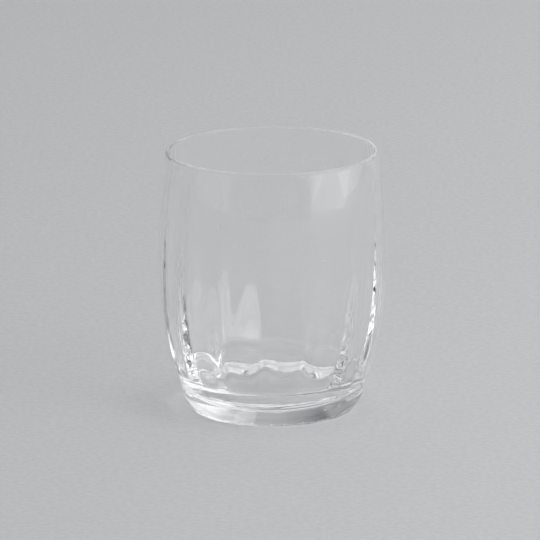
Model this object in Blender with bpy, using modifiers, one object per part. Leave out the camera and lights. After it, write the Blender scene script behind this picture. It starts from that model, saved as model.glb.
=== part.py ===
"""Seltzer glass: a clear blown barrel with optic flutes inside, fused to a thick round foot.

Metres, +Z up. The origin is on the glass's axis, in the plane of the foot's underside.
"""

import math

import bmesh
import bpy

# Whole glass
HEIGHT = 0.095
FUSE_GAP = 0.0003  # clearance kept between the two fused gathers of glass

# Barrel outside: it swells from the rim to the belly, then draws in to the heel
RIM_RADIUS = 0.0378
BELLY_RADIUS = 0.0407
BELLY_HEIGHT = 0.055
HEEL_RADIUS = 0.0332
UPPER_CURVE = 2.2  # power of the swell from the belly to the rim
LOWER_CURVE = 2.4  # power of the swell from the belly to the heel
HEEL_EDGE = 0.0006  # round on the edge where the barrel meets the foot

# Barrel wall: thin at the rim, thick at the heel
RIM_WALL = 0.0010
HEEL_WALL = 0.0064
WALL_GROWTH = 5.0  # power of the thickening from the rim down to the heel
FLOOR_THICKNESS = 0.0023
FILLET_WIDTH = 0.0110  # round between the floor and the wall
FILLET_HEIGHT = 0.0085

# Optic flutes: upright panels that bulge inwards and meet in narrow valleys
FLUTES = 16
FLUTE_DEPTH = 0.0012  # at the floor
FLUTE_DEPTH_ABOVE = 0.0005  # in the upper wall, up to where they run out
FLUTE_FADE = 2.6  # power of the change from the floor's depth to the upper wall's
FLUTE_ROUND = 0.7  # power of a panel's bulge: 1 is a plain wave, less narrows the valleys
FLUTE_RUN_OUT = 0.125  # share of the inside height, below the lip, in which they fade to nothing
FLUTE_LEAN = math.radians(7.0)  # turn of the flutes between rim and base, left by blowing
FRONT = math.radians(-89.3)  # one valley starts near the middle of the front

# Foot: a solid disc, dished to take the barrel's rounded bottom
FOOT_HEIGHT = 0.0088
FOOT_WEB = 0.0032  # glass under the dish
SEAT_WIDTH = 0.0032  # flat ring round the dish that carries the barrel's edge
DISH_ROUND = 0.0040
FOOT_TUCK = 0.0040  # how much narrower the foot stands than its shoulder
SHOULDER_EDGE = 0.0005
BASE_EDGE = 0.0008
SCALLOP_DEPTH = 0.0003  # the flutes' trace on the foot's lower edge
SCALLOP_FADE = 3.0  # power of its fading up to the shoulder

# Facets
COLUMNS_PER_FLUTE = 6
BARREL_RINGS = 10
WALL_RINGS = 10
FILLET_RINGS = 6
DISH_RINGS = 4
FOOT_RINGS = 5
EDGE_RINGS = 3
LIP_RINGS = 4
AXIS_MERGE = 0.00001

GLASS_COLOUR = (0.955, 0.985, 0.975, 1.0)
GLASS_ROUGHNESS = 0.02
GLASS_IOR = 1.5

SEAT_LEVEL = FOOT_HEIGHT + FUSE_GAP
PLUG_LEVEL = FOOT_WEB + FUSE_GAP
PLUG_RADIUS = HEEL_RADIUS - SEAT_WIDTH
PLUG_ROUND = min(DISH_ROUND, SEAT_LEVEL - PLUG_LEVEL - HEEL_EDGE)
PLUG_CENTRE = (PLUG_RADIUS - PLUG_ROUND, PLUG_LEVEL + PLUG_ROUND)
FLOOR_LEVEL = PLUG_LEVEL + FLOOR_THICKNESS
LIP_RADIUS = RIM_WALL / 2
LIP_LEVEL = HEIGHT - LIP_RADIUS


def barrel_radius(z):
    """Outer radius of the barrel at height z."""
    if z >= BELLY_HEIGHT:
        share = (z - BELLY_HEIGHT) / (HEIGHT - BELLY_HEIGHT)
        return BELLY_RADIUS - (BELLY_RADIUS - RIM_RADIUS) * share**UPPER_CURVE
    share = (BELLY_HEIGHT - z) / (BELLY_HEIGHT - SEAT_LEVEL)
    return BELLY_RADIUS - (BELLY_RADIUS - HEEL_RADIUS) * share**LOWER_CURVE


def depth_share(z):
    """0 at the lip and 1 at the floor, for a height z on the inside of the barrel."""
    return min(1.0, max(0.0, (LIP_LEVEL - z) / (LIP_LEVEL - FLOOR_LEVEL)))


def inner_radius(z):
    """Inner radius of the plain wall at height z, before its flutes."""
    wall = RIM_WALL + (HEEL_WALL - RIM_WALL) * depth_share(z) ** WALL_GROWTH
    return barrel_radius(z) - wall


def foot_radius(z):
    """Outer radius of the foot at height z: full at the shoulder, tucked in at the base."""
    return HEEL_RADIUS - FOOT_TUCK * (1 - z / FOOT_HEIGHT) ** 2


def arc(centre, radius, start_deg, end_deg, rings):
    """Points (r, z) of an arc in the profile plane, both ends included."""
    points = []
    for step in range(rings + 1):
        angle = math.radians(start_deg + (end_deg - start_deg) * step / rings)
        points.append((centre[0] + radius * math.cos(angle), centre[1] + radius * math.sin(angle)))
    return points


def spaced(low, high, count):
    """count heights from low to high, both ends included."""
    return [low + (high - low) * step / (count - 1) for step in range(count)]


def bowl_profile():
    """From the middle of the floor up the inner wall, over the lip, down the outside and under."""
    points = [(0.0, FLOOR_LEVEL)]
    for step in range(FILLET_RINGS + 1):
        angle = math.pi / 2 * step / FILLET_RINGS
        z = FLOOR_LEVEL + FILLET_HEIGHT * (1 - math.cos(angle))
        points.append((inner_radius(z) - FILLET_WIDTH * (1 - math.sin(angle)), z))
    wall_levels = spaced(FLOOR_LEVEL + FILLET_HEIGHT, LIP_LEVEL, WALL_RINGS)
    points += [(inner_radius(z), z) for z in wall_levels[1:-1]]
    lip_middle = (barrel_radius(LIP_LEVEL) - LIP_RADIUS, LIP_LEVEL)
    points += arc(lip_middle, LIP_RADIUS, 180, 0, LIP_RINGS)
    heel_level = SEAT_LEVEL + HEEL_EDGE
    barrel_levels = spaced(LIP_LEVEL, heel_level, BARREL_RINGS)
    points += [(barrel_radius(z), z) for z in barrel_levels[1:-1]]
    heel_middle = (barrel_radius(heel_level) - HEEL_EDGE, heel_level)
    points += arc(heel_middle, HEEL_EDGE, 0, -90, EDGE_RINGS)
    points.append((PLUG_RADIUS, SEAT_LEVEL))
    points += arc(PLUG_CENTRE, PLUG_ROUND, 0, -90, DISH_RINGS)
    points.append((0.0, PLUG_LEVEL))
    return points


def foot_profile():
    """From the middle of the dish out over the seat and the shoulder, and down to the underside."""
    top_level = FOOT_HEIGHT - SHOULDER_EDGE
    points = [(0.0, FOOT_WEB)]
    points += arc(PLUG_CENTRE, PLUG_ROUND + FUSE_GAP, -90, 0, DISH_RINGS)
    points.append((PLUG_RADIUS + FUSE_GAP, FOOT_HEIGHT))
    points += arc((foot_radius(top_level) - SHOULDER_EDGE, top_level), SHOULDER_EDGE, 90, 0, EDGE_RINGS)
    points += [(foot_radius(z), z) for z in spaced(top_level, BASE_EDGE, FOOT_RINGS)[1:-1]]
    points += arc((foot_radius(BASE_EDGE) - BASE_EDGE, BASE_EDGE), BASE_EDGE, 0, -90, EDGE_RINGS)
    points.append((0.0, 0.0))
    return points


def lobe(angle):
    """Share of a flute's bulge at an angle round the axis: 0 in a valley, 1 at mid-panel."""
    return (0.5 - 0.5 * math.cos(angle * FLUTES)) ** FLUTE_ROUND


def bowl_offset(radius, angle, z):
    """Change of radius that the flutes make on the barrel's inside."""
    outside = radius > inner_radius(z) + AXIS_MERGE
    if outside or z < FLOOR_LEVEL - AXIS_MERGE:
        return 0.0
    share = depth_share(z)
    depth = FLUTE_DEPTH_ABOVE * min(1.0, share / FLUTE_RUN_OUT)
    depth += (FLUTE_DEPTH - FLUTE_DEPTH_ABOVE) * share**FLUTE_FADE
    return -depth * lobe(angle)


def foot_offset(radius, angle, z):
    """Change of radius that the scallops make on the foot's side and lower edge."""
    in_dish = radius < PLUG_RADIUS + 2 * FUSE_GAP and z > FUSE_GAP
    if in_dish:
        return 0.0
    depth = SCALLOP_DEPTH * (1 - z / FOOT_HEIGHT) ** SCALLOP_FADE
    return -depth * (1 - lobe(angle))


def flute(mesh, offset):
    """Press the flutes into a turned mesh, and lean its columns as the blown glass leans."""
    shape = bmesh.new()
    shape.from_mesh(mesh)
    for vertex in shape.verts:
        x, y, z = vertex.co
        radius = math.hypot(x, y)
        if radius < AXIS_MERGE:
            continue
        angle = math.atan2(y, x)
        radius += offset(radius, angle, z)
        angle += FRONT - FLUTE_LEAN * (1 - z / HEIGHT)
        vertex.co = (radius * math.cos(angle), radius * math.sin(angle), z)
    shape.to_mesh(mesh)
    shape.free()


def turned(name, profile, offset, material, collection):
    """One piece: its profile turned about Z, fluted, and shaded smooth but for its sharp edges."""
    outline = bpy.data.meshes.new(name + "_profile")
    edges = [(index, index + 1) for index in range(len(profile) - 1)]
    outline.from_pydata([(r, 0.0, z) for r, z in profile], edges, [])
    blank = bpy.data.objects.new(name + "_blank", outline)
    collection.objects.link(blank)
    screw = blank.modifiers.new("turn", "SCREW")
    screw.axis = "Z"
    screw.steps = FLUTES * COLUMNS_PER_FLUTE
    screw.render_steps = screw.steps
    screw.use_merge_vertices = True
    screw.merge_threshold = AXIS_MERGE
    bpy.context.view_layer.update()
    graph = bpy.context.evaluated_depsgraph_get()
    mesh = bpy.data.meshes.new_from_object(blank.evaluated_get(graph))
    bpy.data.objects.remove(blank)
    flute(mesh, offset)
    mesh.name = name
    mesh.materials.clear()
    mesh.materials.append(material)
    mesh.shade_smooth()
    mesh.set_sharp_from_angle(angle=math.radians(50))
    piece = bpy.data.objects.new(name, mesh)
    collection.objects.link(piece)
    return piece


def clear_glass(name):
    """Clear soda glass with the faint green-blue of a thick edge."""
    material = bpy.data.materials.new(name)
    material.use_nodes = True
    shader = material.node_tree.nodes["Principled BSDF"]
    shader.inputs["Base Color"].default_value = GLASS_COLOUR
    shader.inputs["Roughness"].default_value = GLASS_ROUGHNESS
    shader.inputs["Metallic"].default_value = 0.0
    shader.inputs["IOR"].default_value = GLASS_IOR
    shader.inputs["Transmission Weight"].default_value = 1.0
    return material


def main():
    for item in list(bpy.data.objects):
        bpy.data.objects.remove(item)
    glass = bpy.data.collections.new("seltzer_glass")
    bpy.context.scene.collection.children.link(glass)
    turned("bowl", bowl_profile(), bowl_offset, clear_glass("bowl_glass"), glass)
    turned("foot", foot_profile(), foot_offset, clear_glass("foot_glass"), glass)


main()
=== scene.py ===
"""Seltzer glass: fine meshes of its two fused pieces, their glass, and a plain grey studio.

Metres, +Z up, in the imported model's frame: the axis is Z and the foot's underside is at zero.
The front of the glass faces -Y, and +X is at the viewer's right.
"""

import logging
import math
from dataclasses import dataclass, field
from enum import Enum
from typing import ClassVar

import bmesh
import bpy
from mathutils import Matrix, Vector


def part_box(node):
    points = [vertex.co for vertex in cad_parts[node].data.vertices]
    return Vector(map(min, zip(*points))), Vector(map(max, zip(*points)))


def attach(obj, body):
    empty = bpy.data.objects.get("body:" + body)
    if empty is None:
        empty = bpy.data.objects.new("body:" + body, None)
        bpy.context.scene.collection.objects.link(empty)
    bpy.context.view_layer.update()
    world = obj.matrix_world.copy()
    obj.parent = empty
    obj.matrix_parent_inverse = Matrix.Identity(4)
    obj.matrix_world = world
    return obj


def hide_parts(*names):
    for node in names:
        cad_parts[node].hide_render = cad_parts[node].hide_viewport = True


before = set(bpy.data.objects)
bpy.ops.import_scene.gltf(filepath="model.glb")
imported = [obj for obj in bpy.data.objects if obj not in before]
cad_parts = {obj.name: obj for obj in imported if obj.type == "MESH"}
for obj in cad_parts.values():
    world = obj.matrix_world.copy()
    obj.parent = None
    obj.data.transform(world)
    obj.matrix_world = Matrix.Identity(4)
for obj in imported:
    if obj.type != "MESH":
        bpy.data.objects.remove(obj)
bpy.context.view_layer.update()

LOG = logging.getLogger("seltzer_glass")
BODY = "root"
MILLIMETRE = 0.001
TINY = 0.000001
FLOAT = "NodeSocketFloat"
VECTOR = "NodeSocketVector"
COLOUR = "NodeSocketColor"

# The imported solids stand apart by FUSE_GAP where the real glass is fused; the dressed faces by SEAM_GAP.
FUSE_GAP = 0.0003
SEAM_GAP = 0.00002
# How far the middle of a flat facet may lie off the dish's round, and off its floor.
ROUND_SLACK = 10 * SEAM_GAP
FLOOR_SLACK = 2 * SEAM_GAP
# Round on the two edges that make the shoulder line.
EDGE_ROUND = 0.00003
# Smallest ring, which is drawn together into a pole, and the distance within which columns are welded.
POLE_RADIUS = 0.001
WELD_DISTANCE = 0.000003


class Press(Enum):
    """How the mould's ribs mark a ring of a piece."""

    ROUND = "round"
    PANEL = "panel"
    SCALLOP = "scallop"


@dataclass(frozen=True)
class Ring:
    """One level of a turned piece.

    Attributes:
        radius: Radius before the mould's mark.
        height: Height above the underside.
        depth: How deep the mark is.
        press: Which mark the ring carries.
    """

    radius: float
    height: float
    depth: float = 0.0
    press: Press = Press.ROUND


@dataclass(frozen=True)
class Flutes:
    """The optic mould's ribs, shared by the bowl's inside and the foot's lower edge.

    Attributes:
        count: Panels round the glass.
        columns: Columns of one panel's mesh, an even number.
        roundness: Power of a panel's bulge: 1 is a plain wave, less narrows the valleys.
        lean: Turn of the panels between rim and base, left by blowing.
        phase: Angle from the front's middle to the first valley.
    """

    count: int = 16
    columns: int = 24
    roundness: float = 0.7
    lean: float = math.radians(8.0)
    phase: float = math.radians(-0.1)

    def pitch(self) -> float:
        """Angle of one panel."""
        return math.tau / self.count

    def wave(self, column: int) -> float:
        """Plain wave over a panel, 0 at its two sides and 1 in its middle."""
        return 0.5 - 0.5 * math.cos(math.tau * column / self.columns)

    def lobe(self, column: int) -> float:
        """Share of a panel's bulge at one of its columns, with narrower valleys than a plain wave."""
        return self.wave(column) ** self.roundness

    def radius(self, ring: Ring, column: int) -> float:
        """Radius of a ring at one column of a panel.

        Args:
            ring: The ring.
            column: Column of the panel, from 0 to columns.

        Returns:
            The radius with the mould's mark.
        """
        if ring.press is Press.PANEL:
            return ring.radius - ring.depth * self.lobe(column)
        if ring.press is Press.SCALLOP:
            return ring.radius - ring.depth * (1.0 - self.wave(column))
        return ring.radius

    def turn(self, height: float, full_height: float) -> float:
        """Angle that a ring is turned by, as blowing twisted the ribs.

        Args:
            height: The ring's height.
            full_height: Height of the rim.

        Returns:
            The angle in radians.
        """
        return self.phase - self.lean * (1.0 - height / full_height)


class PanelLoft:
    """Models one panel ring by ring, then turns copies of it into a closed piece."""

    def __init__(self, name: str, flutes: Flutes, full_height: float) -> None:
        """Keep what every ring needs.

        Args:
            name: Name of the piece.
            flutes: The mould's ribs.
            full_height: Height of the rim.
        """
        self.name = name
        self.flutes = flutes
        self.full_height = full_height

    def build(self, rings: list[Ring]) -> bpy.types.Object:
        """Model the piece.

        Args:
            rings: Its levels, from the pole inside to the pole underneath.

        Returns:
            The finished object, at the origin.
        """
        piece = self._first_arc(rings[0])
        for last, ring in zip(rings, rings[1:]):
            self._next_arc(piece, last, ring)
        self._turn_copies()
        for pole in (rings[0], rings[-1]):
            self._close_pole(piece, pole.height)
        bpy.ops.mesh.select_all(action="SELECT")
        bpy.ops.mesh.normals_make_consistent(inside=False)
        bpy.ops.object.mode_set(mode="OBJECT")
        bpy.ops.object.shade_smooth()
        return piece

    def _first_arc(self, ring: Ring) -> bpy.types.Object:
        """Keep one panel's arc of a new circle.

        Args:
            ring: The first ring, a plain one.

        Returns:
            The new object, in edit mode with the arc selected.
        """
        flutes = self.flutes
        bpy.ops.object.select_all(action="DESELECT")
        bpy.ops.mesh.primitive_circle_add(
            vertices=flutes.count * flutes.columns, radius=ring.radius, fill_type="NOTHING"
        )
        piece = bpy.context.object
        piece.name = self.name
        piece.data.name = self.name
        bpy.ops.object.mode_set(mode="EDIT")
        shape = bmesh.from_edit_mesh(piece.data)
        for vertex in shape.verts:
            vertex.select_set(self._panel_angle(vertex.co) > flutes.pitch() * (1 + 1 / flutes.columns))
        shape.select_flush_mode()
        bpy.ops.mesh.delete(type="VERT")
        bpy.ops.mesh.select_all(action="SELECT")
        bpy.ops.transform.translate(value=(0.0, 0.0, ring.height))
        self._rotate(flutes.turn(ring.height, self.full_height), ring.height)
        return piece

    def _panel_angle(self, place: Vector, turn: float = 0.0) -> float:
        """Angle of a point from the first panel's start, at the front.

        Args:
            place: The point.
            turn: Angle that its ring is turned by.

        Returns:
            The angle plus half a column, so that the first column isn't taken for the last.
        """
        half_column = self.flutes.pitch() / self.flutes.columns / 2
        return (math.atan2(place.y, place.x) + math.pi / 2 - turn + half_column) % math.tau

    def _rotate(self, angle: float, height: float) -> None:
        """Turn the selected ring about the axis by an angle, at its height."""
        bpy.ops.transform.rotate(value=-angle, orient_axis="Z", center_override=(0.0, 0.0, height))

    def _grow(self, growth: float, height: float) -> None:
        """Scale the selected part of a ring from the axis, at its height."""
        bpy.ops.transform.resize(value=(growth, growth, 1.0), center_override=(0.0, 0.0, height))

    def _select(self, piece: bpy.types.Object, arc: list[int], wanted: set[int]) -> None:
        """Select some of an arc's vertices and no others of it.

        Args:
            piece: The object in edit mode.
            arc: Numbers of the arc's vertices.
            wanted: Numbers of those to select.
        """
        shape = bmesh.from_edit_mesh(piece.data)
        shape.verts.ensure_lookup_table()
        for number in arc:
            shape.verts[number].select_set(number in wanted)
        shape.select_flush_mode()

    def _next_arc(self, piece: bpy.types.Object, last: Ring, ring: Ring) -> None:
        """Extrude the selected arc to the next ring and press its columns.

        Args:
            piece: The object in edit mode.
            last: The ring that is selected.
            ring: The ring to make.
        """
        flutes = self.flutes
        rise = ring.height - last.height
        bpy.ops.mesh.extrude_region_move(TRANSFORM_OT_translate={"value": (0.0, 0.0, rise)})
        old_turn = flutes.turn(last.height, self.full_height)
        new_turn = flutes.turn(ring.height, self.full_height)
        shape = bmesh.from_edit_mesh(piece.data)
        chosen = [vertex for vertex in shape.verts if vertex.select]
        chosen.sort(key=lambda vertex: self._panel_angle(vertex.co, old_turn))
        arc = [vertex.index for vertex in chosen]
        pairs = range(flutes.columns // 2 + 1)
        growths = [flutes.radius(ring, pair) / flutes.radius(last, pair) for pair in pairs]
        if max(growths) - min(growths) < TINY:
            self._grow(growths[0], ring.height)
        else:
            for pair, growth in zip(pairs, growths):
                self._select(piece, arc, {arc[pair], arc[-1 - pair]})
                self._grow(growth, ring.height)
            self._select(piece, arc, set(arc))
        self._rotate(new_turn - old_turn, ring.height)

    def _turn_copies(self) -> None:
        """Turn copies of the panel round the axis and weld them into one skin."""
        copies = self.flutes.count - 1
        bpy.ops.mesh.select_all(action="SELECT")
        bpy.ops.mesh.spin(
            steps=copies,
            dupli=True,
            angle=self.flutes.pitch() * copies,
            center=(0.0, 0.0, 0.0),
            axis=(0.0, 0.0, 1.0),
        )
        bpy.ops.mesh.select_all(action="SELECT")
        bpy.ops.mesh.remove_doubles(threshold=WELD_DISTANCE)

    def _close_pole(self, piece: bpy.types.Object, height: float) -> None:
        """Draw the open end at a height together on the axis.

        Args:
            piece: The object in edit mode.
            height: Height of the open end.
        """
        bpy.ops.mesh.select_all(action="DESELECT")
        shape = bmesh.from_edit_mesh(piece.data)
        for vertex in shape.verts:
            vertex.select_set(vertex.is_boundary and abs(vertex.co.z - height) < WELD_DISTANCE)
        shape.select_flush_mode()
        bpy.ops.mesh.merge(type="CENTER")


def arc_rings(
    centre: tuple[float, float],
    radius: float,
    start: float,
    end: float,
    steps: int,
) -> list[Ring]:
    """Plain rings along an arc of a profile, both ends included.

    Args:
        centre: The arc's centre, as radius and height.
        radius: The arc's radius.
        start: First angle in degrees, 0 outwards and 90 up.
        end: Last angle in degrees.
        steps: Steps between the rings.

    Returns:
        The rings.
    """
    rings = []
    for step in range(steps + 1):
        angle = math.radians(start + (end - start) * step / steps)
        rings.append(Ring(centre[0] + radius * math.cos(angle), centre[1] + radius * math.sin(angle)))
    return rings


def spaced(low: float, high: float, count: int) -> list[float]:
    """Even levels between two heights.

    Args:
        low: The first level.
        high: The last level.
        count: How many levels.

    Returns:
        The levels, both ends included.
    """
    return [low + (high - low) * step / (count - 1) for step in range(count)]


def added(tree: bpy.types.NodeTree, kind: str, **options: object) -> bpy.types.Node:
    """Add a node to a tree.

    Args:
        tree: The tree.
        kind: The node's type.
        options: Values of the node's own options.

    Returns:
        The node.
    """
    node = tree.nodes.new(kind)
    for option, value in options.items():
        setattr(node, option, value)
    return node


def preset(node: bpy.types.Node, values: dict[str | int, float | tuple[float, ...]]) -> None:
    """Set sockets of a node to fixed values.

    Args:
        node: The node.
        values: Value of each input, by its name or number.
    """
    for socket, value in values.items():
        node.inputs[socket].default_value = value


def wire(tree: bpy.types.NodeTree, *links: tuple[bpy.types.NodeSocket, bpy.types.NodeSocket]) -> None:
    """Link pairs of sockets.

    Args:
        tree: The tree that holds the nodes.
        links: Pairs of an output and the input that it feeds.
    """
    for source, target in links:
        tree.links.new(source, target)


class EffectGroup:
    """Shader node groups that both pieces' glass uses, each built once.

    Attributes:
        WAVE_DETAIL: Octaves of the waves' noise.
        FILM_START: Noise level at which a smear starts.
        FILM_FULL: Noise level at which a smear is full.
    """

    WAVE_DETAIL: ClassVar[float] = 1.0
    FILM_START: ClassVar[float] = 0.45
    FILM_FULL: ClassVar[float] = 0.75

    @staticmethod
    def _open(
        name: str,
        inputs: dict[str, str],
        outputs: dict[str, str],
    ) -> tuple[bpy.types.NodeTree, bpy.types.Node, bpy.types.Node]:
        """Start a new group.

        Args:
            name: Name of the group.
            inputs: Socket type of each named input.
            outputs: Socket type of each named output.

        Returns:
            The group, its input node and its output node.
        """
        group = bpy.data.node_groups.new(name, "ShaderNodeTree")
        for label, kind in inputs.items():
            group.interface.new_socket(name=label, in_out="INPUT", socket_type=kind)
        for label, kind in outputs.items():
            group.interface.new_socket(name=label, in_out="OUTPUT", socket_type=kind)
        return group, group.nodes.new("NodeGroupInput"), group.nodes.new("NodeGroupOutput")

    @classmethod
    def blown_wave(cls) -> bpy.types.NodeTree:
        """Uneven waves of blown or chilled glass, up to a height.

        Returns:
            The group, which puts out a height between 0 and 1.
        """
        name = "blown_wave"
        if name in bpy.data.node_groups:
            return bpy.data.node_groups[name]
        inputs = {"Coordinates": VECTOR, "Scale": FLOAT, "Stretch": VECTOR, "Top": FLOAT}
        group, given, result = cls._open(name, inputs, {"Height": FLOAT})
        drawn = added(group, "ShaderNodeVectorMath", operation="MULTIPLY")
        noise = added(group, "ShaderNodeTexNoise")
        preset(noise, {"Detail": cls.WAVE_DETAIL})
        split = added(group, "ShaderNodeSeparateXYZ")
        fade = added(group, "ShaderNodeMapRange", interpolation_type="SMOOTHSTEP")
        preset(fade, {"From Max": 0.0})
        faded = added(group, "ShaderNodeMath", operation="MULTIPLY")
        wire(
            group,
            (given.outputs["Coordinates"], drawn.inputs[0]),
            (given.outputs["Stretch"], drawn.inputs[1]),
            (drawn.outputs["Vector"], noise.inputs["Vector"]),
            (given.outputs["Scale"], noise.inputs["Scale"]),
            (given.outputs["Coordinates"], split.inputs["Vector"]),
            (split.outputs["Z"], fade.inputs["Value"]),
            (given.outputs["Top"], fade.inputs["From Min"]),
            (noise.outputs["Fac"], faded.inputs[0]),
            (fade.outputs["Result"], faded.inputs[1]),
            (faded.outputs["Value"], result.inputs["Height"]),
        )
        return group

    @classmethod
    def seed(cls) -> bpy.types.NodeTree:
        """A seed: the pit of a tiny burst bubble at one place.

        Returns:
            The group, which puts out 1 in the seed's middle and 0 outside it.
        """
        name = "seed"
        if name in bpy.data.node_groups:
            return bpy.data.node_groups[name]
        inputs = {"Coordinates": VECTOR, "Place": VECTOR, "Radius": FLOAT}
        group, given, result = cls._open(name, inputs, {"Height": FLOAT})
        away = added(group, "ShaderNodeVectorMath", operation="DISTANCE")
        fade = added(group, "ShaderNodeMapRange", interpolation_type="SMOOTHSTEP")
        preset(fade, {"From Min": 0.0, "To Min": 1.0, "To Max": 0.0})
        wire(
            group,
            (given.outputs["Coordinates"], away.inputs[0]),
            (given.outputs["Place"], away.inputs[1]),
            (away.outputs["Value"], fade.inputs["Value"]),
            (given.outputs["Radius"], fade.inputs["From Max"]),
            (fade.outputs["Result"], result.inputs["Height"]),
        )
        return group

    @classmethod
    def depth_tint(cls) -> bpy.types.NodeTree:
        """Clear glass that turns faintly green-blue where it is thickest, low in the glass.

        Returns:
            The group, which puts out the colour.
        """
        name = "depth_tint"
        if name in bpy.data.node_groups:
            return bpy.data.node_groups[name]
        inputs = {"Coordinates": VECTOR, "Thin": COLOUR, "Thick": COLOUR, "Height": FLOAT}
        group, given, result = cls._open(name, inputs, {"Color": COLOUR})
        split = added(group, "ShaderNodeSeparateXYZ")
        rise = added(group, "ShaderNodeMapRange", interpolation_type="SMOOTHSTEP")
        mix = added(group, "ShaderNodeMix", data_type="RGBA")
        wire(
            group,
            (given.outputs["Coordinates"], split.inputs["Vector"]),
            (split.outputs["Z"], rise.inputs["Value"]),
            (given.outputs["Height"], rise.inputs["From Max"]),
            (rise.outputs["Result"], mix.inputs["Factor"]),
            (given.outputs["Thick"], mix.inputs["A"]),
            (given.outputs["Thin"], mix.inputs["B"]),
            (mix.outputs["Result"], result.inputs["Color"]),
        )
        return group

    @classmethod
    def handling_film(cls) -> bpy.types.NodeTree:
        """Faint smears that handling leaves on clean glass, and the duller lip.

        Returns:
            The group, which puts out the roughness.
        """
        name = "handling_film"
        if name in bpy.data.node_groups:
            return bpy.data.node_groups[name]
        inputs = {"Coordinates": VECTOR, "Scale": FLOAT, "Least": FLOAT, "Most": FLOAT}
        inputs |= {"Lip Level": FLOAT, "Lip": FLOAT}
        group, given, result = cls._open(name, inputs, {"Roughness": FLOAT})
        noise = added(group, "ShaderNodeTexNoise")
        smear = added(group, "ShaderNodeMapRange")
        preset(smear, {"From Min": cls.FILM_START, "From Max": cls.FILM_FULL})
        split = added(group, "ShaderNodeSeparateXYZ")
        above = added(group, "ShaderNodeMath", operation="GREATER_THAN")
        lip = added(group, "ShaderNodeMath", operation="MULTIPLY")
        duller = added(group, "ShaderNodeMath", operation="MAXIMUM")
        wire(
            group,
            (given.outputs["Coordinates"], noise.inputs["Vector"]),
            (given.outputs["Scale"], noise.inputs["Scale"]),
            (noise.outputs["Fac"], smear.inputs["Value"]),
            (given.outputs["Least"], smear.inputs["To Min"]),
            (given.outputs["Most"], smear.inputs["To Max"]),
            (given.outputs["Coordinates"], split.inputs["Vector"]),
            (split.outputs["Z"], above.inputs[0]),
            (given.outputs["Lip Level"], above.inputs[1]),
            (above.outputs["Value"], lip.inputs[0]),
            (given.outputs["Lip"], lip.inputs[1]),
            (smear.outputs["Result"], duller.inputs[0]),
            (lip.outputs["Value"], duller.inputs[1]),
            (duller.outputs["Value"], result.inputs["Roughness"]),
        )
        return group


@dataclass(frozen=True)
class Seed:
    """One seed in the glass.

    Attributes:
        place: Its middle.
        radius: Its size.
        depth: Depth of its pit.
    """

    place: tuple[float, float, float]
    radius: float
    depth: float


@dataclass(frozen=True)
class Wave:
    """Unevenness of the glass's skin.

    Attributes:
        scale: How many waves there are in a metre.
        stretch: The waves' stretch along X, Y and Z, less than 1 for longer waves.
        depth: Height of the waves.
        top: Height on the glass where they have faded out.
    """

    scale: float
    stretch: tuple[float, float, float]
    depth: float
    top: float


BLOWING = Wave(scale=60.0, stretch=(1.0, 1.0, 0.3), depth=0.00001, top=0.2)
CHILLING = Wave(scale=700.0, stretch=(0.2, 0.2, 1.0), depth=0.0000025, top=0.06)


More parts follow.
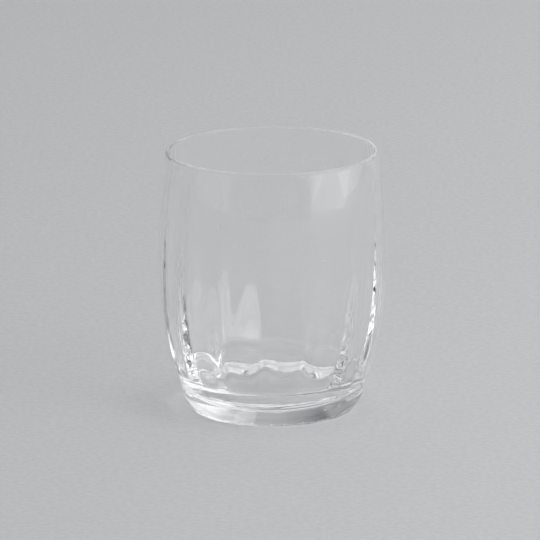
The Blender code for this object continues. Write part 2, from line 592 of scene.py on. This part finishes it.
@dataclass(frozen=True)
class ClearGlass:
    """Clear fire-polished glass.

    Attributes:
        name: Name of the material.
        thin: Colour of what is seen through a thin wall.
        thick: The same through the thickest glass.
        thick_height: Height above which the glass counts as thin.
        waves: Unevenness of its skin: slow upright waves from blowing, fine level ones from chilling.
        film_scale: How many smears there are in a metre.
        clean: Roughness of the clean surface.
        smeared: Roughness of a smear.
        lip_level: Height above which the glass belongs to the lip.
        lip: Roughness of the lip, which was cut and melted smooth.
        ior: Index of refraction.
        seeds: The seeds that show.
    """

    name: str
    thin: tuple[float, float, float, float] = (0.996, 0.998, 0.998, 1.0)
    thick: tuple[float, float, float, float] = (0.986, 0.991, 0.990, 1.0)
    thick_height: float = 0.03
    waves: tuple[Wave, ...] = (BLOWING, CHILLING)
    film_scale: float = 90.0
    clean: float = 0.0
    smeared: float = 0.01
    lip_level: float = 0.0942
    lip: float = 0.4
    ior: float = 1.5
    seeds: tuple[Seed, ...] = ()

    def material(self) -> bpy.types.Material:
        """Build the node material.

        Returns:
            The material.
        """
        material = bpy.data.materials.new(self.name)
        material.use_nodes = True
        tree = material.node_tree
        shader = tree.nodes["Principled BSDF"]
        preset(shader, {"Metallic": 0.0, "Transmission Weight": 1.0, "IOR": self.ior})
        place = added(tree, "ShaderNodeTexCoord").outputs["Object"]
        tint = self._group(tree, EffectGroup.depth_tint(), place)
        preset(tint, {"Thin": self.thin, "Thick": self.thick, "Height": self.thick_height})
        film = self._group(tree, EffectGroup.handling_film(), place)
        preset(film, {"Scale": self.film_scale, "Least": self.clean, "Most": self.smeared})
        preset(film, {"Lip Level": self.lip_level, "Lip": self.lip})
        bump = added(tree, "ShaderNodeBump")
        preset(bump, {"Strength": 1.0, "Distance": MILLIMETRE})
        wire(
            tree,
            (self._relief(tree, place), bump.inputs["Height"]),
            (tint.outputs["Color"], shader.inputs["Base Color"]),
            (film.outputs["Roughness"], shader.inputs["Roughness"]),
            (bump.outputs["Normal"], shader.inputs["Normal"]),
        )
        return material

    def _group(
        self,
        tree: bpy.types.NodeTree,
        group: bpy.types.NodeTree,
        place: bpy.types.NodeSocket,
    ) -> bpy.types.Node:
        """Put an effect's group into the material.

        Args:
            tree: The material's nodes.
            group: The effect's group.
            place: The coordinates that it reads.

        Returns:
            The group's node.
        """
        node = added(tree, "ShaderNodeGroup", node_tree=group)
        wire(tree, (place, node.inputs["Coordinates"]))
        return node

    def _relief(self, tree: bpy.types.NodeTree, place: bpy.types.NodeSocket) -> bpy.types.NodeSocket:
        """Add the waves and the pits of the seeds together.

        Args:
            tree: The material's nodes.
            place: The coordinates that they read.

        Returns:
            The height in millimetres.
        """
        total = None
        for wave in self.waves:
            swell = self._group(tree, EffectGroup.blown_wave(), place)
            preset(swell, {"Scale": wave.scale, "Stretch": wave.stretch, "Top": wave.top})
            total = self._weighed(tree, swell.outputs["Height"], wave.depth, total)
        for seed in self.seeds:
            pit = self._group(tree, EffectGroup.seed(), place)
            preset(pit, {"Place": seed.place, "Radius": seed.radius})
            total = self._weighed(tree, pit.outputs["Height"], -seed.depth, total)
        return total

    def _weighed(
        self,
        tree: bpy.types.NodeTree,
        height: bpy.types.NodeSocket,
        depth: float,
        total: bpy.types.NodeSocket | None,
    ) -> bpy.types.NodeSocket:
        """Add one relief to those before it.

        Args:
            tree: The material's nodes.
            height: The relief, between 0 and 1.
            depth: Its real height.
            total: The relief so far, if there is any.

        Returns:
            The new total in millimetres.
        """
        sum_node = added(tree, "ShaderNodeMath", operation="MULTIPLY_ADD")
        preset(sum_node, {1: depth / MILLIMETRE, 2: 0.0})
        wire(tree, (height, sum_node.inputs[0]))
        if total is not None:
            wire(tree, (total, sum_node.inputs[2]))
        return sum_node.outputs["Value"]


@dataclass(frozen=True)
class FusedSeam:
    """The face where bowl and foot were melted together: no light bends there.

    Attributes:
        name: Name of the material.
    """

    name: str = "fused_seam"

    def material(self) -> bpy.types.Material:
        """Build the material, which lets everything through.

        Returns:
            The material.
        """
        material = bpy.data.materials.new(self.name)
        material.use_nodes = True
        preset(material.node_tree.nodes["Principled BSDF"], {"Alpha": 0.0, "Transmission Weight": 1.0})
        return material


@dataclass(frozen=True)
class Barrel:
    """The bowl's outside: it swells from the rim to the belly, then draws in to the heel.

    Attributes:
        height: Height of the rim.
        belly_radius: Widest radius.
        seat: Height of the heel's foot.
        rim_radius: Radius at the rim.
        belly_height: Height of the belly.
        heel_radius: Radius at the foot.
        upper_curve: Power of the swell from the belly to the rim.
        lower_curve: Power of the swell from the belly to the heel.
    """

    height: float
    belly_radius: float
    seat: float
    rim_radius: float = 0.0378
    belly_height: float = 0.055
    heel_radius: float = 0.0332
    upper_curve: float = 2.2
    lower_curve: float = 2.4

    def radius(self, z: float) -> float:
        """Outer radius at a height.

        Args:
            z: The height.

        Returns:
            The radius.
        """
        if z >= self.belly_height:
            share = (z - self.belly_height) / (self.height - self.belly_height)
            return self.belly_radius - (self.belly_radius - self.rim_radius) * share**self.upper_curve
        share = (self.belly_height - z) / (self.belly_height - self.seat)
        return self.belly_radius - (self.belly_radius - self.heel_radius) * share**self.lower_curve


@dataclass(frozen=True)
class Seam:
    """The fused joint that bowl and foot share.

    Attributes:
        seat: Height of the ring that carries the bowl's heel.
        floor: Height of the dish's floor.
        edge: Radius where the seam comes out at the shoulder line.
        dish_radius: Radius of the dish.
        dish_round: Round between the dish's side and its floor.
        rings: Steps along that round.
    """

    seat: float
    floor: float
    edge: float
    dish_radius: float = 0.03
    dish_round: float = 0.004
    rings: int = 6

    def profile(self, lift: float) -> list[Ring]:
        """Rings from the shoulder line to the dish's middle.

        Args:
            lift: How far the face lies above the seam.

        Returns:
            The rings.
        """
        middle = (self.dish_radius - self.dish_round, self.floor + self.dish_round + lift)
        rings = [Ring(self.edge, self.seat + lift), Ring(self.dish_radius, self.seat + lift)]
        rings += arc_rings(middle, self.dish_round, 0.0, -90.0, self.rings)
        rings.append(Ring(POLE_RADIUS, self.floor + lift))
        return rings

    def holds(self, place: Vector) -> bool:
        """Tell whether a point lies on the seam, as against the glass round it.

        Args:
            place: The point, the middle of a face.

        Returns:
            True on the ring, the round or the floor of the dish.
        """
        radius = math.hypot(place.x, place.y)
        low_enough = place.z < self.seat + SEAM_GAP + TINY
        on_seat = radius < self.edge + TINY and place.z > self.seat - SEAM_GAP - TINY
        middle = Vector((self.dish_radius - self.dish_round, self.floor + self.dish_round))
        reach = (Vector((radius, place.z)) - middle).length
        on_round = abs(reach - self.dish_round) < ROUND_SLACK and radius > middle.x - TINY
        on_side = abs(radius - self.dish_radius) < SEAM_GAP
        on_floor = abs(place.z - self.floor) < FLOOR_SLACK and radius < self.dish_radius
        return low_enough and (on_seat or on_round or on_side or on_floor)


def dress(piece: bpy.types.Object, glass: ClearGlass, seam: Seam) -> None:
    """Give a piece its glass, and its fused faces the seam's finish.

    Args:
        piece: The piece.
        glass: Its glass.
        seam: The seam that it shares.
    """
    fused = bpy.data.materials.get(FusedSeam.name) or FusedSeam().material()
    piece.data.materials.append(glass.material())
    piece.data.materials.append(fused)
    bpy.context.view_layer.objects.active = piece
    bpy.ops.object.mode_set(mode="EDIT")
    bpy.ops.mesh.select_mode(type="FACE")
    bpy.ops.mesh.select_all(action="DESELECT")
    shape = bmesh.from_edit_mesh(piece.data)
    for face in shape.faces:
        face.select_set(seam.holds(face.calc_center_median()))
    piece.active_material_index = 1
    bpy.ops.object.material_slot_assign()
    bpy.ops.mesh.select_mode(type="VERT")
    bpy.ops.object.mode_set(mode="OBJECT")


@dataclass
class Bowl:
    """The blown barrel: round outside, fluted inside, with a rounded bottom that sits in the foot.

    Attributes:
        barrel: Its outside.
        flutes: The mould's ribs.
        seam: The joint with the foot.
        rim_wall: Thickness at the lip.
        heel_wall: Thickness at the floor.
        wall_growth: Power of the thickening towards the floor.
        floor: Height of the floor inside.
        corner_width: Width of the round between floor and wall.
        corner_height: Height of that round.
        corner_power: How square that round is: 2 is a plain ellipse.
        flute_depth: Depth of the panels at the floor.
        flute_depth_above: Depth of the panels in the upper wall.
        flute_fade: Power of the change between the two.
        flute_run_out: Share of the inside height in which the panels end below the lip.
        flute_start: Height above the floor where the panels start.
        flute_full: Height above the floor where the panels have their full depth.
        heel_edge: Round on the edge at the foot.
        ripple_depth: Height of the chill ripples low on the inside.
        ripple_size: Length of a ripple.
        ripple_top: Height where the ripples end.
        ripple_rise: How soon below that height they are full: 1 is at the floor.
        seeds: The seeds that show in its skin.
        floor_rings: Rings on the floor, and so on for the other stretches.
    """

    barrel: Barrel
    flutes: Flutes
    seam: Seam
    rim_wall: float = 0.0010
    heel_wall: float = 0.0070
    wall_growth: float = 4.5
    floor: float = 0.0061
    corner_width: float = 0.0135
    corner_height: float = 0.0085
    corner_power: float = 2.2
    flute_depth: float = 0.0018
    flute_depth_above: float = 0.0005
    flute_fade: float = 2.6
    flute_run_out: float = 0.125
    flute_start: float = 0.0
    flute_full: float = 0.025
    heel_edge: float = EDGE_ROUND
    ripple_depth: float = 0.00004
    ripple_size: float = 0.0035
    ripple_top: float = 0.045
    ripple_rise: float = 1.5
    floor_rings: int = 10
    corner_rings: int = 24
    wall_rings: int = 56
    lip_rings: int = 12
    barrel_rings: int = 64
    heel_rings: int = 6
    seeds: tuple[Seed, ...] = (
        Seed((0.0020, -0.0406, 0.0618), 0.0006, 0.00015),
        Seed((0.0116, -0.0390, 0.0603), 0.0004, 0.0003),
        Seed((0.0183, -0.0362, 0.0632), 0.0004, -0.0003),
        Seed((-0.0187, -0.0354, 0.0752), 0.0004, -0.0003),
    )

    def build(self) -> bpy.types.Object:
        """Model and dress the bowl.

        Returns:
            The finished piece.
        """
        loft = PanelLoft("fluted_bowl", self.flutes, self.barrel.height)
        piece = loft.build(self._rings())
        self._ripple(piece)
        dress(piece, ClearGlass("blown_bowl_glass", seeds=self.seeds), self.seam)
        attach(piece, BODY)
        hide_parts("bowl")
        return piece

    def _lip_level(self) -> float:
        """Height of the lip's middle."""
        return self.barrel.height - self.rim_wall / 2

    def _depth_share(self, z: float) -> float:
        """Share of the way from the lip, 0, down to the floor, 1, at a height."""
        lip = self._lip_level()
        return min(1.0, max(0.0, (lip - z) / (lip - self.floor)))

    def _inner_radius(self, z: float) -> float:
        """Inner radius at a height, before the panels."""
        growth = self._depth_share(z) ** self.wall_growth
        return self.barrel.radius(z) - self.rim_wall - (self.heel_wall - self.rim_wall) * growth

    def _panel_depth(self, z: float) -> float:
        """Depth of the panels at a height.

        Args:
            z: The height.

        Returns:
            The depth, which runs out at the lip and at the floor.
        """
        share = self._depth_share(z)
        upper = self.flute_depth_above * min(1.0, share / self.flute_run_out)
        full = upper + (self.flute_depth - self.flute_depth_above) * share**self.flute_fade
        above = z - self.floor - self.flute_start
        rise = min(1.0, max(0.0, above / (self.flute_full - self.flute_start)))
        return full * rise * rise * (3.0 - 2.0 * rise)

    def _rings(self) -> list[Ring]:
        """Rings from the floor's middle up inside, over the lip, down outside and under.

        Returns:
            The rings.
        """
        return self._inside_rings() + self._outside_rings() + self.seam.profile(SEAM_GAP / 2)

    def _inside_rings(self) -> list[Ring]:
        """Rings of the floor, the round at its edge and the inner wall.

        Returns:
            The rings.
        """
        flat = self._inner_radius(self.floor) - self.corner_width
        depth = self._panel_depth(self.floor)
        rings = [Ring(POLE_RADIUS, self.floor)]
        for step in range(1, self.floor_rings):
            share = step / self.floor_rings
            rings.append(Ring(flat * share + POLE_RADIUS, self.floor, depth * share**2, Press.PANEL))
        power = 2.0 / self.corner_power
        for step in range(self.corner_rings + 1):
            angle = math.pi / 2 * step / self.corner_rings
            rise = 1.0 - max(0.0, math.cos(angle)) ** power
            z = self.floor + self.corner_height * rise
            radius = self._inner_radius(z) - self.corner_width * (1.0 - math.sin(angle) ** power)
            rings.append(Ring(radius, z, self._panel_depth(z), Press.PANEL))
        for z in spaced(self.floor + self.corner_height, self._lip_level(), self.wall_rings)[1:-1]:
            rings.append(Ring(self._inner_radius(z), z, self._panel_depth(z), Press.PANEL))
        return rings

    def _outside_rings(self) -> list[Ring]:
        """Rings of the lip, the outer wall and the heel's edge.

        Returns:
            The rings.
        """
        lip = self._lip_level()
        radius = self.rim_wall / 2
        rings = arc_rings((self.barrel.radius(lip) - radius, lip), radius, 180.0, 0.0, self.lip_rings)
        heel = self.seam.seat + SEAM_GAP / 2 + self.heel_edge
        rings += [Ring(self.barrel.radius(z), z) for z in spaced(lip, heel, self.barrel_rings)[1:-1]]
        middle = (self.barrel.radius(heel) - self.heel_edge, heel)
        return rings + arc_rings(middle, self.heel_edge, 0.0, -90.0, self.heel_rings)[:-1]

    def _ripple(self, piece: bpy.types.Object) -> None:
        """Ruffle the lower inside, where the mould chilled the glass.

        Args:
            piece: The bowl.
        """
        group = piece.vertex_groups.new(name="chilled")
        for vertex in piece.data.vertices:
            place, normal = vertex.co, vertex.normal
            inside = normal.x * place.x + normal.y * place.y < 0.0
            share = (self.ripple_top - place.z) / (self.ripple_top - self.floor)
            if inside and 0.0 < share < 1.0:
                group.add([vertex.index], min(1.0, self.ripple_rise * share), "REPLACE")
        texture = bpy.data.textures.new("chill_ripples", "CLOUDS")
        texture.noise_scale = self.ripple_size
        texture.noise_depth = 1
        ripple = piece.modifiers.new("chill_ripples", "DISPLACE")
        ripple.texture = texture
        ripple.texture_coords = "LOCAL"
        ripple.vertex_group = group.name
        ripple.strength = 2.0 * self.ripple_depth
        ripple.mid_level = 0.5
        bpy.context.view_layer.objects.active = piece
        bpy.ops.object.modifier_apply(modifier=ripple.name)
        piece.vertex_groups.clear()


@dataclass
class Foot:
    """The solid disc under the bowl: tucked in below, with softly scalloped lower edge.

    Attributes:
        height: Height of the rim.
        flutes: The mould's ribs.
        seam: The joint with the bowl.
        radius: Radius at the shoulder.
        tuck: How much narrower the foot stands than its shoulder.
        shoulder_edge: Round at the shoulder.
        base_edge: Round at the underside.
        scallop_depth: Depth of the scallops at the underside.
        scallop_fade: Power of their fading up to the shoulder.
        seeds: The seeds that show in its skin.
        side_rings: Rings on the side, and so on for the other stretches.
    """

    height: float
    flutes: Flutes
    seam: Seam
    radius: float = 0.0332
    tuck: float = 0.0040
    shoulder_edge: float = EDGE_ROUND
    base_edge: float = 0.0008
    scallop_depth: float = 0.0003
    scallop_fade: float = 3.0
    side_rings: int = 18
    edge_rings: int = 8
    under_rings: int = 8
    seeds: tuple[Seed, ...] = (
        Seed((0.0186, -0.0268, 0.0054), 0.0004, 0.0003),
        Seed((0.0236, -0.0226, 0.0057), 0.0004, 0.0003),
    )

    def build(self) -> bpy.types.Object:
        """Model and dress the foot.

        Returns:
            The finished piece.
        """
        loft = PanelLoft("solid_foot", self.flutes, self.height)
        piece = loft.build(self._rings())
        dress(piece, ClearGlass("pressed_foot_glass", waves=(BLOWING,), seeds=self.seeds), self.seam)
        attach(piece, BODY)
        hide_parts("foot")
        return piece

    def _side_radius(self, z: float) -> float:
        """Radius of the side at a height, before the scallops."""
        return self.radius - self.tuck * (1.0 - z / self.seam.seat) ** 2

    def _scalloped(self, ring: Ring) -> Ring:
        """A plain ring of the side with its scallops."""
        depth = self.scallop_depth * max(0.0, 1.0 - ring.height / self.seam.seat) ** self.scallop_fade
        return Ring(ring.radius, ring.height, depth, Press.SCALLOP)

    def _rings(self) -> list[Ring]:
        """Rings from the dish's middle out over the shoulder, down the side and under.

        Returns:
            The rings.
        """
        rings = self.seam.profile(-SEAM_GAP / 2)[::-1]
        top = self.seam.seat - SEAM_GAP / 2 - self.shoulder_edge
        middle = (self._side_radius(top) - self.shoulder_edge, top)
        rings += arc_rings(middle, self.shoulder_edge, 90.0, 0.0, self.edge_rings)[1:]
        side = [Ring(self._side_radius(z), z) for z in spaced(top, self.base_edge, self.side_rings)[1:-1]]
        middle = (self._side_radius(self.base_edge) - self.base_edge, self.base_edge)
        side += arc_rings(middle, self.base_edge, 0.0, -90.0, self.edge_rings)
        rings += [self._scalloped(ring) for ring in side]
        for step in range(1, self.under_rings + 1):
            share = 1.0 - step / self.under_rings
            rings.append(Ring(POLE_RADIUS + (middle[0] - POLE_RADIUS) * share, 0.0))
        return rings


@dataclass(frozen=True)
class PaleTop:
    """The smooth pale grey surface that the glass stands on.

    Attributes:
        colour: Its colour.
        mottle: How much lighter and darker its grain is.
        grain: How many grains there are in a metre.
        grain_detail: Octaves of the grain's noise.
        roughness: Its roughness.
        sheen: How much it reflects.
        reach: Radius where it has run out into the backdrop.
        full_reach: Radius up to which it is solid.
        drop: How far it lies below the foot, so that the two faces don't coincide.
    """

    colour: tuple[float, float, float] = (0.663, 0.662, 0.672)
    mottle: float = 0.08
    grain: float = 500.0
    grain_detail: float = 4.0
    roughness: float = 0.85
    sheen: float = 0.15
    reach: float = 1.3
    full_reach: float = 0.85
    drop: float = 0.0003

    def build(self) -> bpy.types.Object:
        """Lay the surface.

        Returns:
            The surface.
        """
        bpy.ops.object.select_all(action="DESELECT")
        bpy.ops.mesh.primitive_plane_add(size=2.0 * self.reach)
        top = bpy.context.object
        top.name = "pale_top"
        bpy.ops.object.mode_set(mode="EDIT")
        bpy.ops.mesh.select_all(action="SELECT")
        bpy.ops.transform.translate(value=(0.0, 0.0, -self.drop))
        bpy.ops.object.mode_set(mode="OBJECT")
        top.data.materials.append(self._material())
        return top

    def _material(self) -> bpy.types.Material:
        """Matt grey with a fine grain, which runs out far from the glass.

        Returns:
            The material.
        """
        material = bpy.data.materials.new("pale_grey")
        material.use_nodes = True
        tree = material.node_tree
        shader = tree.nodes["Principled BSDF"]
        preset(shader, {"Roughness": self.roughness, "Specular IOR Level": self.sheen})
        place = added(tree, "ShaderNodeTexCoord").outputs["Object"]
        noise = added(tree, "ShaderNodeTexNoise")
        preset(noise, {"Scale": self.grain, "Detail": self.grain_detail})
        mix = added(tree, "ShaderNodeMix", data_type="RGBA")
        darker = (*[part - self.mottle for part in self.colour], 1.0)
        lighter = (*[part + self.mottle for part in self.colour], 1.0)
        preset(mix, {"A": darker, "B": lighter})
        away = added(tree, "ShaderNodeVectorMath", operation="LENGTH")
        fade = added(tree, "ShaderNodeMapRange", interpolation_type="SMOOTHSTEP")
        preset(fade, {"From Min": self.reach, "From Max": self.full_reach})
        wire(
            tree,
            (place, noise.inputs["Vector"]),
            (noise.outputs["Fac"], mix.inputs["Factor"]),
            (mix.outputs["Result"], shader.inputs["Base Color"]),
            (place, away.inputs[0]),
            (away.outputs["Value"], fade.inputs["Value"]),
            (fade.outputs["Result"], shader.inputs["Alpha"]),
        )
        return material


@dataclass(frozen=True)
class Softbox:
    """One soft lamp, aimed at the glass, which dims towards its two sides.

    Attributes:
        name: Name of the lamp.
        azimuth: Direction in degrees from the viewer's side, growing towards their right.
        elevation: Angle in degrees above the surface.
        distance: Distance from the glass.
        width: Width of its face.
        height: Height of its face.
        radiance: How bright the middle of its face looks, 1 being white.
        dimming: Share of the way from each side to the middle over which the face brightens.
    """

    name: str
    azimuth: float
    elevation: float
    distance: float
    width: float
    height: float
    radiance: float
    dimming: float = 1.0

    def build(self, target: Vector) -> bpy.types.Object:
        """Hang the lamp.

        Args:
            target: The point that it is aimed at.

        Returns:
            The lamp.
        """
        around = math.radians(self.azimuth)
        up = math.radians(self.elevation)
        towards = Vector((math.sin(around) * math.cos(up), -math.cos(around) * math.cos(up), math.sin(up)))
        bpy.ops.object.light_add(
            type="AREA",
            location=target + towards * self.distance,
            rotation=(-towards).to_track_quat("-Z", "Y").to_euler(),
        )
        lamp = bpy.context.object
        lamp.name = self.name
        lamp.visible_camera = False
        lamp.data.shape = "RECTANGLE"
        lamp.data.size = self.width
        lamp.data.size_y = self.height
        lamp.data.energy = math.pi * self.width * self.height * self.radiance
        if self.dimming > 0.0:
            self._dim_sides(lamp.data)
        return lamp

    def _dim_sides(self, lamp: bpy.types.Light) -> None:
        """Let the face fade out towards its two sides.

        Args:
            lamp: The lamp's data.
        """
        middle = 0.5
        lamp.use_nodes = True
        tree = lamp.node_tree
        face = added(tree, "ShaderNodeNewGeometry")
        split = added(tree, "ShaderNodeSeparateXYZ")
        inwards = added(tree, "ShaderNodeMath", operation="PINGPONG")
        preset(inwards, {1: middle})
        fade = added(tree, "ShaderNodeMapRange", interpolation_type="SMOOTHSTEP")
        preset(fade, {"From Max": middle * self.dimming})
        wire(
            tree,
            (face.outputs["Parametric"], split.inputs["Vector"]),
            (split.outputs["X"], inwards.inputs[0]),
            (inwards.outputs["Value"], fade.inputs["Value"]),
            (fade.outputs["Result"], tree.nodes["Emission"].inputs["Strength"]),
        )


@dataclass(frozen=True)
class Viewpoint:
    """The camera, in front of the glass and a little above it.

    Attributes:
        elevation: Angle in degrees that it looks down by.
        distance: Distance from its aim.
        lens: Focal length in millimetres.
        sensor: Width of the sensor in millimetres.
        aim: The point in the middle of the picture.
        roll: Tilt of the picture in degrees.
    """

    elevation: float = 14.3
    distance: float = 2.06
    lens: float = 381.2
    sensor: float = 36.0
    aim: tuple[float, float, float] = (-0.0008, 0.0, 0.0504)
    roll: float = -0.36

    def build(self) -> bpy.types.Object:
        """Place the camera and make it the scene's.

        Returns:
            The camera.
        """
        up = math.radians(self.elevation)
        aim = Vector(self.aim)
        towards = Vector((0.0, -math.cos(up), math.sin(up)))
        facing = (-towards).to_track_quat("-Z", "Y").to_matrix().to_4x4()
        turned = facing @ Matrix.Rotation(math.radians(self.roll), 4, "Z")
        bpy.ops.object.camera_add(location=aim + towards * self.distance, rotation=turned.to_euler())
        camera = bpy.context.object
        camera.name = "viewpoint"
        camera.data.lens = self.lens
        camera.data.sensor_width = self.sensor
        bpy.context.scene.camera = camera
        return camera


@dataclass
class Studio:
    """A plain grey studio with large soft lamps.

    Attributes:
        top: The surface.
        viewpoint: The camera.
        room: Colour of the dim room round the lamps.
        backdrop: Colour seen past the surface, by the camera and through the glass.
        horizon: Angle in degrees above which the backdrop gives way to the room.
        lamps: The lamps.
        target: What the lamps are aimed at.
        bounces: How often light may bend and reflect inside the glass.
    """

    top: PaleTop = field(default_factory=PaleTop)
    viewpoint: Viewpoint = field(default_factory=Viewpoint)
    room: tuple[float, float, float, float] = (0.095, 0.105, 0.112, 1.0)
    backdrop: tuple[float, float, float, float] = (0.44, 0.445, 0.455, 1.0)
    horizon: float = 9.0
    lamps: tuple[Softbox, ...] = (
        Softbox("overhead", 250.0, 79.0, 1.5, 2.6, 2.6, 0.63, 0.0),
        Softbox("top_rear", 172.0, 54.0, 1.4, 1.3, 0.75, 0.5, 0.4),
        Softbox("key_right", 72.0, 22.0, 1.3, 2.6, 1.25, 1.65, 0.8),
        Softbox("key_core", 48.0, 19.0, 1.25, 1.1, 0.6, 1.5, 0.6),
        Softbox("rear_right", 126.0, 22.0, 1.35, 1.7, 1.2, 0.85),
        Softbox("rear", 150.0, 16.0, 1.4, 1.25, 0.85, 0.4),
        Softbox("rear_edge", 167.0, 16.0, 1.4, 0.27, 0.85, 0.1, 0.1),
        Softbox("rear_dim", 176.0, 16.0, 1.4, 2.03, 0.85, 0.315),
        Softbox("left_fill", 298.0, 10.0, 1.3, 1.4, 0.9, 0.5),
        Softbox("rear_left", 224.5, 18.0, 1.3, 0.96, 0.45, 0.205, 0.3),
        Softbox("high_front", 25.0, 45.0, 1.4, 1.2, 0.6, 0.8, 0.8),
    )
    target: tuple[float, float, float] = (0.0, 0.0, 0.03)
    bounces: int = 64

    def build(self) -> None:
        """Build the surface, the room, the lamps and the camera."""
        self.top.build()
        self._room()
        for softbox in self.lamps:
            softbox.build(Vector(self.target))
        self.viewpoint.build()
        scene = bpy.context.scene
        scene.view_settings.view_transform = "Standard"
        scene.cycles.max_bounces = self.bounces
        scene.cycles.transmission_bounces = self.bounces
        scene.cycles.glossy_bounces = self.bounces
        scene.cycles.transparent_max_bounces = self.bounces
        scene.cycles.blur_glossy = 0.0

    def _room(self) -> None:
        """Fill the room with dim even light, and put a backdrop behind the surface."""
        world = bpy.data.worlds.new("grey_room")
        world.use_nodes = True
        tree = world.node_tree
        ray = added(tree, "ShaderNodeLightPath")
        direction = added(tree, "ShaderNodeTexCoord")
        split = added(tree, "ShaderNodeSeparateXYZ")
        low = added(tree, "ShaderNodeMapRange", interpolation_type="SMOOTHSTEP")
        top, bottom = math.radians(self.horizon), math.radians(self.horizon / 2)
        preset(low, {"From Min": math.sin(top), "From Max": math.sin(bottom)})
        bent = added(tree, "ShaderNodeMath", operation="MAXIMUM")
        shown = added(tree, "ShaderNodeMath", operation="MULTIPLY_ADD", use_clamp=True)
        mix = added(tree, "ShaderNodeMix", data_type="RGBA")
        preset(mix, {"A": self.room, "B": self.backdrop})
        wire(
            tree,
            (direction.outputs["Generated"], split.inputs["Vector"]),
            (split.outputs["Z"], low.inputs["Value"]),
            (ray.outputs["Is Transmission Ray"], bent.inputs[0]),
            (ray.outputs["Is Glossy Ray"], bent.inputs[1]),
            (bent.outputs["Value"], shown.inputs[0]),
            (low.outputs["Result"], shown.inputs[1]),
            (ray.outputs["Is Camera Ray"], shown.inputs[2]),
            (shown.outputs["Value"], mix.inputs["Factor"]),
            (mix.outputs["Result"], tree.nodes["Background"].inputs["Color"]),
        )
        bpy.context.scene.world = world


def seltzer_glass() -> list[bpy.types.Object]:
    """Build the glass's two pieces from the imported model's sizes.

    Returns:
        The pieces.
    """
    low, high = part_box("bowl")
    foot_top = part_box("foot")[1][2]
    flutes = Flutes()
    seat = foot_top + FUSE_GAP / 2
    barrel = Barrel(height=high[2], belly_radius=(high[0] - low[0]) / 2, seat=seat)
    edge = barrel.heel_radius - EDGE_ROUND
    seam = Seam(seat=seat, floor=low[2] - FUSE_GAP / 2, edge=edge)
    bowl = Bowl(barrel, flutes, seam)
    foot = Foot(barrel.height, flutes, seam)
    return [bowl.build(), foot.build()]


def main() -> None:
    """Build the glass and the studio, and report each piece."""
    logging.basicConfig(level=logging.INFO, format="%(name)s: %(message)s")
    for piece in seltzer_glass():
        LOG.info("%s: %d faces", piece.name, len(piece.data.polygons))
    Studio().build()
    LOG.info("studio ready")


if __name__ == "__main__":
    main()
